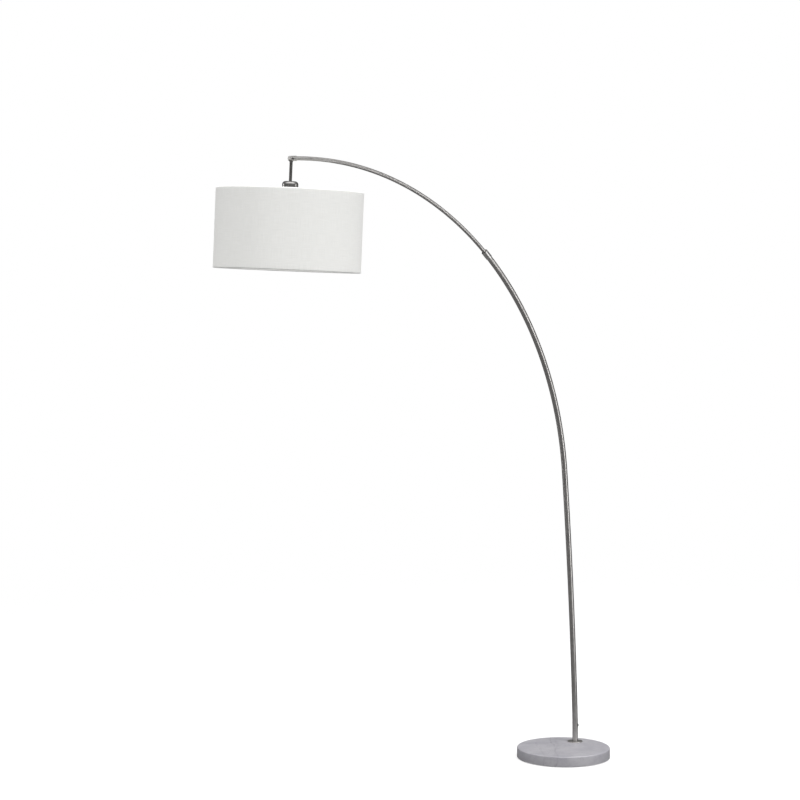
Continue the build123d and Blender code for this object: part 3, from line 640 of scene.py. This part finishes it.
# %% Cut and place the cloth
CLOTH_THICK = 0.45 * MM
LIFT_GAP = 0.03 * MM  # between the two layers of the lap
PUCKER = 0.10 * MM
HEM_WIDTH = 7 * MM  # over which a pucker fades
LAP = 14 * MM
TUCK = 11 * MM
WIRE = 1.6 * MM  # radius
TUCK_SINKS = 2.1 * MM  # from the drum's outside to a tuck's raw edge
ring_radius = half_width("shade_ring_top") - WIRE
ring_drops = [float(((pivot - points_of(nodes[ring])) @ head_up).mean())
              for ring in ("shade_ring_top", "shade_ring_bottom")]
outer_line = shade_radius - CLOTH_THICK / 2
hem_radius = outer_line - ring_radius  # of the turn round a wire
inner_line = ring_radius - hem_radius
lining_inside = shade_radius - TUCK_SINKS


def ease(share):
    """Smooth step from nought to one."""
    return share * share * (3 - 2 * share)


share = np.linspace(0, 1, 12)
half_turn = np.linspace(0, np.pi, 15)[1:-1]
tuck_radius = lining_inside + (inner_line - lining_inside) * ease(np.clip(share * 1.6 - 0.6, 0, 1))
profile_radius = np.concatenate([
    tuck_radius, ring_radius - hem_radius * np.cos(half_turn),
    np.full(42, outer_line), ring_radius + hem_radius * np.cos(half_turn), tuck_radius[::-1]])
profile_drop = np.concatenate([
    ring_drops[1] - TUCK * (1 - share), ring_drops[1] + hem_radius * np.sin(half_turn),
    np.linspace(ring_drops[1], ring_drops[0], 42), ring_drops[0] - hem_radius * np.sin(half_turn),
    ring_drops[0] + TUCK * share])
cut = np.concatenate([[0.0], np.cumsum(np.hypot(np.diff(profile_radius), np.diff(profile_drop)))])

circumference = 2 * np.pi * outer_line
round_it = np.concatenate([
    np.linspace(0, circumference - LAP, 270),
    np.linspace(circumference - LAP, circumference + LAP, 22)[1:]])
seam_turn = np.pi  # away from the arm's end, towards the post
cloth_turn = seam_turn + 2 * np.pi * round_it / circumference
lift = (CLOTH_THICK + LIFT_GAP) * ease(np.clip((round_it - circumference + LAP) / LAP, 0, 1))
pucker = PUCKER * np.sin(cloth_turn * 61 + 1.7 * np.sin(cloth_turn * 7))
hem_share = np.exp(-((cut - cut[len(share) + 6]) / HEM_WIDTH) ** 2)
hem_share += hem_share[::-1]
inside = np.where(profile_radius < ring_radius, -1.0, 1.0)
cloth_radius = (profile_radius[:, None] + inside[:, None] * lift[None, :]
                + hem_share[:, None] * pucker[None, :])
cloth_points = on_head(cloth_radius, np.broadcast_to(cloth_turn, cloth_radius.shape),
                       np.broadcast_to(profile_drop[:, None], cloth_radius.shape))
cloth_chart = np.stack(np.broadcast_arrays(round_it[None, :], cut[:, None]), axis=-1)
cloth = grid_piece("shade_cloth", cloth_points, close_columns=False, chart=cloth_chart, sharp=80)
cloth.data.flip_normals()
thickness = cloth.modifiers.new("cloth_thickness", "SOLIDIFY")
thickness.thickness = CLOTH_THICK
thickness.offset = 0.0
cloth.data.materials.append(cloth_finish())
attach(cloth, "head")
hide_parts("shade_cover")

# %% [markdown]
# ## Lining
# Behind the cloth is a smooth white plastic sheet, which gives the drum its stiffness and keeps
# the weave from showing as shadows. It ends short of the wires, under the tucked hems. Its ends
# lap at the same seam, which shows inside as one upright step.

# %% Lining
LINING_THICK = 0.4 * MM
GLUE = 0.1 * MM  # between the cloth and the lining
LINING_PAST_WIRE = 0.6 * MM


def lining_finish():
    """Smooth calendered plastic with a faint cloudiness in its gloss."""
    material, tree, shader = finish("white_lining")
    here = places(tree)
    clouds = noise(tree, here, scale=14.0, detail=4.0)
    tree.links.new(tint(tree, spread(tree, clouds, 0.3, 0.7, 0.0, 1.0),
                        (0.90, 0.90, 0.885, 1.0), (0.86, 0.86, 0.845, 1.0)),
                   shader.inputs["Base Color"])
    tree.links.new(spread(tree, clouds, 0.3, 0.7, 0.38, 0.52), shader.inputs["Roughness"])
    relief(tree, shader, noise(tree, here, scale=220.0, detail=3.0), 0.08, 0.0002)
    return material


lining_outside = outer_line - CLOTH_THICK / 2 - GLUE
lining_low = ring_drops[1] - WIRE - LINING_PAST_WIRE
lining_high = ring_drops[0] + WIRE + LINING_PAST_WIRE
down = np.linspace(lining_high, lining_low, 24)
wall_radius = np.concatenate([
    np.full(24, lining_outside), np.full(24, lining_outside - LINING_THICK)])
wall_drop = np.concatenate([down, down[::-1]])
lining_turn = seam_turn + np.linspace(0, 2 * np.pi, 256, endpoint=False)
wall = np.broadcast_to(wall_radius[:, None], (48, 256))
lining_points = on_head(wall, np.broadcast_to(lining_turn, wall.shape),
                        np.broadcast_to(wall_drop[:, None], wall.shape))
lining = grid_piece("shade_lining", lining_points, close_rows=True)
face_outwards(lining)
lining.data.materials.append(lining_finish())
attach(lining, "head")
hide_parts("shade_liner")

# %% [markdown]
# ## Finishes for the small parts
# The remaining pieces keep their exact shapes from the frame. Each gets the finish that its
# maker would give it: zinc on the hidden hardware, black oxide on the screws, moulded nylon and
# phenolic, drawn brass, powder coat on the wires, rolled aluminium on the bulb's base and a
# frosted coat on its glass. All of them read places on the piece, so the patterns stay put when
# the lamp moves.

# %% Small finishes


def zinc():
    """Bright zinc: fine crystals that differ a little in tone and gloss."""
    material, tree, shader = finish("zinc_plate", Metallic=1.0)
    here = places(tree)
    crystals = step(tree, "ShaderNodeTexVoronoi", Vector=here, Scale=900.0).outputs["Color"]
    value = step(tree, "ShaderNodeSeparateColor", crystals).outputs[0]
    tree.links.new(tint(tree, value, (0.60, 0.62, 0.66, 1.0), (0.70, 0.71, 0.73, 1.0)),
                   shader.inputs["Base Color"])
    tree.links.new(spread(tree, value, 0.0, 1.0, 0.26, 0.42), shader.inputs["Roughness"])
    relief(tree, shader, noise(tree, here, scale=2500.0), 0.1, 0.00005)
    return material


def black_oxide():
    """Blackened steel with bright rubbed spots."""
    material, tree, shader = finish("black_oxide", Metallic=1.0)
    here = places(tree)
    rubbed = spread(tree, noise(tree, here, scale=600.0, detail=5.0), 0.56, 0.74, 0.0, 1.0)
    tree.links.new(tint(tree, rubbed, (0.045, 0.045, 0.05, 1.0), (0.16, 0.16, 0.17, 1.0)),
                   shader.inputs["Base Color"])
    tree.links.new(spread(tree, rubbed, 0.0, 1.0, 0.48, 0.30), shader.inputs["Roughness"])
    relief(tree, shader, noise(tree, here, scale=2200.0, detail=3.0), 0.2, 0.00005)
    return material


def moulded(name, colour, gloss, grain):
    """Moulded plastic: a fine mould grain and a slow drift in gloss."""
    material, tree, shader = finish(name)
    here = places(tree)
    drift = noise(tree, here, scale=70.0, detail=3.0)
    lighter = tuple(1.5 * c + 0.004 for c in colour) + (1.0,)
    tree.links.new(tint(tree, spread(tree, drift, 0.3, 0.7, 0.0, 1.0), colour + (1.0,), lighter),
                   shader.inputs["Base Color"])
    tree.links.new(spread(tree, drift, 0.3, 0.7, gloss - 0.05, gloss + 0.07),
                   shader.inputs["Roughness"])
    relief(tree, shader, noise(tree, here, scale=1800.0, detail=4.0), grain, 0.0001)
    return material


def drawn_metal(name, colour, gloss, axis):
    """Drawn or rolled metal: fine lines square to the axis, and duller patches."""
    material, tree, shader = finish(name, Metallic=1.0)
    here = places(tree)
    stretched = [4000.0 if abs(a) > 0.5 else 120.0 for a in axis]
    lines = noise(tree, scaled(tree, here, stretched), detail=3.0)
    dull = noise(tree, here, scale=260.0, detail=4.0)
    darker = tuple(0.72 * c for c in colour) + (1.0,)
    tree.links.new(tint(tree, spread(tree, dull, 0.4, 0.75, 0.0, 1.0), colour + (1.0,), darker),
                   shader.inputs["Base Color"])
    tree.links.new(spread(tree, dull, 0.3, 0.7, gloss - 0.06, gloss + 0.10),
                   shader.inputs["Roughness"])
    relief(tree, shader, lines, 0.2, 0.00004)
    return material


def powder_coat():
    """White powder coat: a soft orange peel."""
    material, tree, shader = finish("white_powder_coat", Coat_Weight=0.2, Coat_Roughness=0.3)
    here = places(tree)
    peel = noise(tree, here, scale=750.0, detail=2.0)
    # Painted shade: the coat is a little darker in the dips of the peel and lighter on its crests.
    tree.links.new(tint(tree, spread(tree, peel, 0.3, 0.7, 0.0, 1.0),
                        (0.80, 0.80, 0.785, 1.0), (0.85, 0.85, 0.835, 1.0)),
                   shader.inputs["Base Color"])
    tree.links.new(spread(tree, peel, 0.3, 0.7, 0.40, 0.50), shader.inputs["Roughness"])
    relief(tree, shader, peel, 0.3, 0.0001)
    return material


def frosted():
    """Bulb glass with a white inner coat: soft and lightly mottled."""
    material, tree, shader = finish("frosted_bulb", Coat_Weight=0.6, Coat_Roughness=0.08)
    here = places(tree)
    mottle = noise(tree, here, scale=160.0, detail=5.0)
    tree.links.new(tint(tree, spread(tree, mottle, 0.3, 0.7, 0.0, 1.0),
                        (0.88, 0.88, 0.86, 1.0), (0.83, 0.83, 0.815, 1.0)),
                   shader.inputs["Base Color"])
    tree.links.new(spread(tree, mottle, 0.3, 0.7, 0.42, 0.55), shader.inputs["Roughness"])
    relief(tree, shader, noise(tree, here, scale=1400.0, detail=2.0), 0.06, 0.00005)
    return material


def foam_rubber():
    """Closed-cell foam: dark, matt and full of small cells."""
    material, tree, shader = finish("foam_rubber", Roughness=0.92)
    here = places(tree)
    cells = step(tree, "ShaderNodeTexVoronoi", Vector=here, Scale=1100.0).outputs["Distance"]
    # Painted shade: the colour is darkest at the bottom of each cell, where the relief is lowest.
    tree.links.new(tint(tree, cells, (0.018, 0.018, 0.019, 1.0), (0.055, 0.055, 0.057, 1.0)),
                   shader.inputs["Base Color"])
    relief(tree, shader, cells, 0.6, 0.0004)
    return material


# %% [markdown]
# The turned nickel parts need their own axes: the post's foot for the flange, the tangent of the
# arm's circle for the collar and the elbow, and the stem for everything that hangs.

# %% Dress the nodes


def along_arm(lean):
    """Direction up the tube at that lean."""
    return (-float(np.sin(lean)), 0.0, float(np.cos(lean)))


mouth = along_circle(np.array([lower_leans[1]]))[0]
tip_lean = float(np.arctan2(pivot[2] - arc_centre[2], pivot[0] - arc_centre[0]))
small = {
    "zinc_steel": zinc(),
    "dark_screw": black_oxide(),
    "black_nylon": moulded("black_nylon", (0.022, 0.022, 0.023), 0.50, 0.35),
    "black_phenolic": moulded("black_phenolic", (0.016, 0.016, 0.017), 0.24, 0.12),
    "brass": drawn_metal("drawn_brass", (0.78, 0.58, 0.26), 0.30, (0, 0, 1)),
    "bulb_aluminium": drawn_metal("rolled_aluminium", (0.76, 0.76, 0.77), 0.28, (0, 0, 1)),
    "white_wire": powder_coat(),
    "frosted_glass": frosted(),
    "pad_rubber": foam_rubber(),
}
own_finish = {
    "foot_flange": turned_nickel("nickel_flange", post_foot, (0.0, 0.0, 1.0), gloss=0.34),
    # Painted highlight: the collar's nickel is a lighter copy of the same nickel; its lower roughness is its
    # polish.
    "collar": turned_nickel("nickel_collar_painted_highlight", mouth, along_arm(lower_leans[1]),
                            colour=(0.66, 0.65, 0.64, 1.0), gloss=0.24),
    "elbow_body": turned_nickel("nickel_elbow", pivot, along_arm(tip_lean)),
}
# Painted shade: the stem's nickel is a much darker copy of the same nickel, standing in for the dim surroundings
# it mirrors.
nickel_in_painted_shade = turned_nickel("nickel_in_painted_shade", pivot, tuple(head_up),
                            colour=(0.17, 0.165, 0.16, 1.0), gloss=0.40)
for node in ("stem_knuckle", "stem_pipe"):
    own_finish[node] = nickel_in_painted_shade
# Painted shade: the cup's nickel is a darker copy of the same nickel.
own_finish["socket_cup"] = turned_nickel("nickel_cup_painted_shade", pivot, tuple(head_up),
                                         colour=(0.44, 0.43, 0.42, 1.0), gloss=0.2)

slots = {part["node"]: part["material_slot"] for part in frame["record"]["subparts"]}
dressed = 0
for name, node in nodes.items():
    if node.hide_render:
        continue
    coat = own_finish.get(name) or small[slots[name]]
    for slot in node.material_slots:
        slot.material = coat
    dressed += 1
print("dressed", dressed, "nodes from the frame")

# %% [markdown]
# ## Floor and light
# The lamp stands on a pale floor in a bright studio. The light is a sky of broad soft patches,
# like large softboxes and white walls: a key high on the right, a fill high on the left, a weak
# one over the camera, and a faint glow from behind the lamp and from below. Broad patches instead
# of small lamps keep the shadows faint. Metal mirrors a dimmer sky than the one that lights the
# cloth and the stone, which leaves the dark lines on the tubes. The backdrop is plain white.

# %% Studio light
right = np.cross(heading, [0.0, 0.0, 1.0])
towards = -heading


def studio(azimuth, elevation):
    """The direction of a light that stands azimuth degrees to the right of the camera, as seen
    from the lamp, and elevation degrees above the level."""
    turn, rise = radians(azimuth), radians(elevation)
    level = np.sin(turn) * right + np.cos(turn) * towards
    return tuple(np.cos(rise) * level + np.array([0.0, 0.0, np.sin(rise)]))


patches = [  # azimuth to the right of the camera, elevation, brightness, how narrow
    (55, 56, 4.9, 6.0),
    (-50, 58, 4.0, 7.0),
    (5, 50, 0.8, 6.0),
    (180, 5, 0.12, 3.0),
    (180, 50, 0.12, 4.0),
    (0, -90, 0.30, 2.0),
]
MIRRORED_SHARE = 0.4  # of the patches' brightness, for rays mirrored by the metal
MIRRORED_LEVEL = 0.17  # brightness between the patches, for the same rays
PLAIN_LEVEL = 0.04  # and for all the others
world = bpy.data.worlds.new("studio")
bpy.context.scene.world = world
world.use_nodes = True
sky = world.node_tree
sky.nodes.clear()
direction = sky.nodes.new("ShaderNodeTexCoord").outputs["Generated"]
path = sky.nodes.new("ShaderNodeLightPath")
brightness = None
for azimuth, elevation, amount, power in patches:
    facing = step(sky, "ShaderNodeVectorMath", direction, studio(azimuth, elevation),
                  operation="DOT_PRODUCT").outputs["Value"]
    patch = calculate(sky, "MULTIPLY", calculate(
        sky, "POWER", calculate(sky, "MAXIMUM", facing, 0.0), power), amount)
    brightness = patch if brightness is None else calculate(sky, "ADD", patch, brightness)
mirrored = path.outputs["Is Glossy Ray"]
strength = calculate(sky, "MULTIPLY_ADD", mirrored, MIRRORED_SHARE - 1.0, 1.0)
level = calculate(sky, "MULTIPLY_ADD", mirrored, MIRRORED_LEVEL - PLAIN_LEVEL, PLAIN_LEVEL)
brightness = calculate(sky, "MULTIPLY_ADD", brightness, strength, level)
soft = step(sky, "ShaderNodeBackground", None, brightness)
plain = step(sky, "ShaderNodeBackground", (1.0, 1.0, 1.0, 1.0), 1.0)
both = step(sky, "ShaderNodeMixShader", path.outputs["Is Camera Ray"], soft.outputs[0],
            plain.outputs[0])
sky.links.new(both.outputs[0], sky.nodes.new("ShaderNodeOutputWorld").inputs[0])

# %% [markdown]
# A broad sky alone leaves metal dull. Two tall strip lights just outside the picture, one in
# front on the right and one on the left, draw the narrow bright streaks that run down the tubes,
# the collar and the cup. They stand close, so each stretch of the arm mirrors another height.

# %% Strip lights


def strip_light(name, across, near, low, high, width, radiance):
    """A tall soft light beside the post, aimed at the post's axis."""
    data = bpy.data.lights.new(name, "AREA")
    data.shape = "RECTANGLE"
    data.size, data.size_y = width, high - low
    data.energy = radiance * np.pi * width * (high - low)
    lamp = bpy.data.objects.new(name, data)
    offset = across * right + near * towards
    lamp.location = post_foot * (1, 1, 0) + offset + np.array([0, 0, (low + high) / 2])
    lamp.rotation_euler = Vector(-offset).to_track_quat("-Z", "Y").to_euler()
    lamp.visible_camera = False
    bpy.context.scene.collection.objects.link(lamp)
    return lamp


strip_light("strip_right", 1.05, 0.75, 0.05, 2.40, 0.32, 3.2)
strip_light("strip_left", -2.37, 0.37, 0.60, 2.20, 0.25, 4.5)

# %% [markdown]
# The floor thins out with distance, so that no horizon cuts the picture. It catches the faint
# shadow and stays out of the metal's reflections, where its edge would show. It lies a hair
# below the pad, so that the two never share a plane.

# %% Floor
FLOOR_REACH = 4.5
FLOOR_DROP = 0.5 * MM
FLOOR_HOLD = 0.32  # how solid the floor is under the lamp
floor_turn = np.linspace(0, 2 * np.pi, 96, endpoint=False)
floor_radius = np.array([0.001, 0.5, 1.5, 3.0, FLOOR_REACH])
floor_points = np.stack([
    floor_radius[:, None] * np.cos(floor_turn), floor_radius[:, None] * np.sin(floor_turn),
    np.full((5, 96), -FLOOR_DROP)], axis=-1)
floor = grid_piece("pale_floor", floor_points)
floor_coat, tree, shader = finish("pale_floor", Base_Color=(0.96, 0.96, 0.96, 1.0), Roughness=0.9)
far = step(tree, "ShaderNodeVectorMath", places(tree), operation="LENGTH").outputs["Value"]
hold = spread(tree, far, 0.3, FLOOR_REACH - 0.3, FLOOR_HOLD, 0.0, True)
clear = tree.nodes.new("ShaderNodeBsdfTransparent")
blend = step(tree, "ShaderNodeMixShader", hold, clear.outputs[0], shader.outputs[0])
tree.links.new(blend.outputs[0], tree.nodes["Material Output"].inputs[0])
floor.data.materials.append(floor_coat)
floor.visible_glossy = False
bpy.context.scene.view_settings.view_transform = "Standard"
